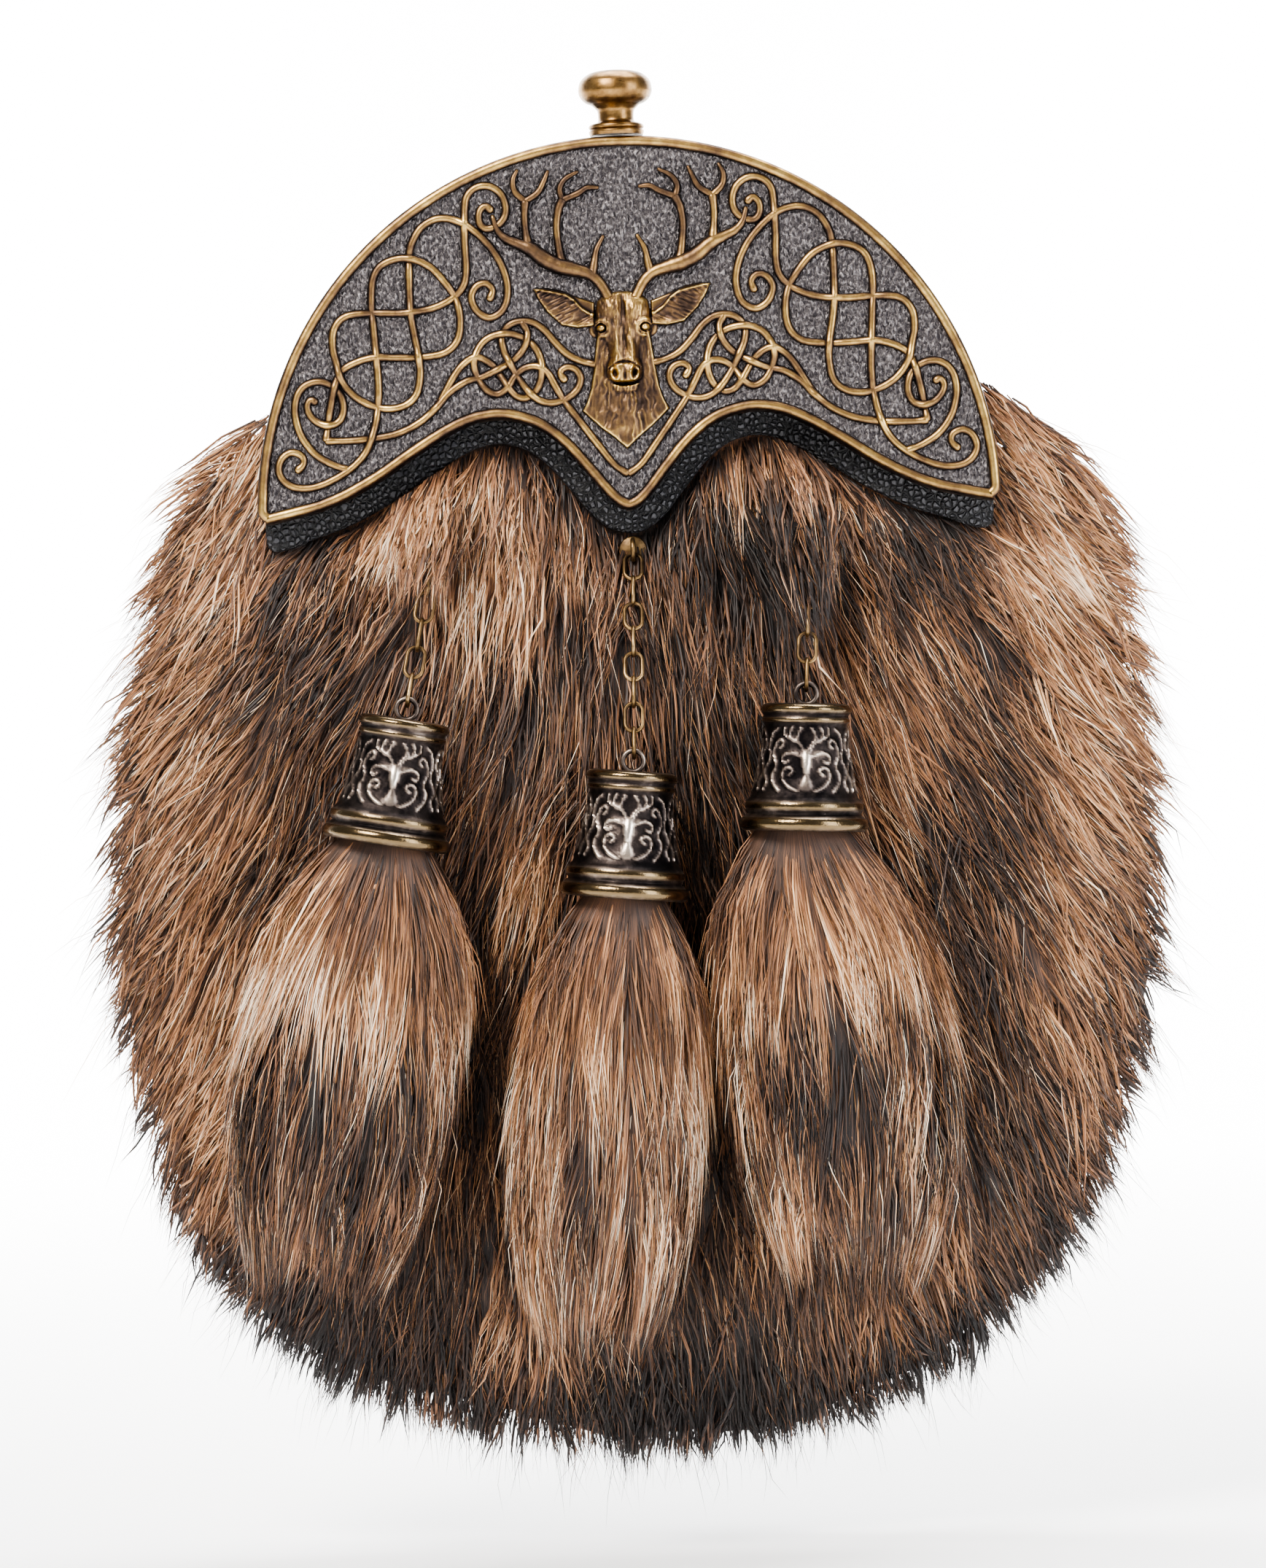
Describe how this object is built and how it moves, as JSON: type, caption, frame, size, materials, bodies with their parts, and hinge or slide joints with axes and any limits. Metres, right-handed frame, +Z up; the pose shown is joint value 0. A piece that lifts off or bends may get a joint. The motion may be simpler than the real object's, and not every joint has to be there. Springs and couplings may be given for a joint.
{
  "type": "sporran pouch",
  "caption": "Half-round dress sporran: hollow leather pouch with a long fur front, a cast relief plate, a turned knob and hair tassels on chains.",
  "frame": {"origin": "midpoint between the two belt loops on the pouch's back face, where the waist strap holds the sporran", "axes": "+Z up, -Y out of the front, +X to the viewer's right seen from the front"},
  "size_m": [0.2218, 0.0753, 0.2795],
  "materials": {
    "leather": "pebbled black leather, semi-matt",
    "long_hair": "long brown and cream hair",
    "antique_casting": "antiqued casting, dark hollows and polished high spots",
    "turned_brass": "turned, satin",
    "chain_wire": "aged plated wire"
  },
  "bodies": {
    "root": {"pouch": "leather", "fur_front": "long_hair", "leather_apron": "leather", "cantle": "antique_casting", "knob": "turned_brass", "chain_ring_left": "chain_wire", "chain_ring_centre": "chain_wire", "chain_ring_right": "chain_wire", "chain_left": "chain_wire", "chain_centre": "chain_wire", "chain_right": "chain_wire", "tassel_cone_left": "antique_casting", "tassel_cone_centre": "antique_casting", "tassel_cone_right": "antique_casting", "tassel_fur_left": "long_hair", "tassel_fur_centre": "long_hair", "tassel_fur_right": "long_hair", "strap_loop_left": "leather", "strap_loop_right": "leather"}
  },
  "joints": []
}
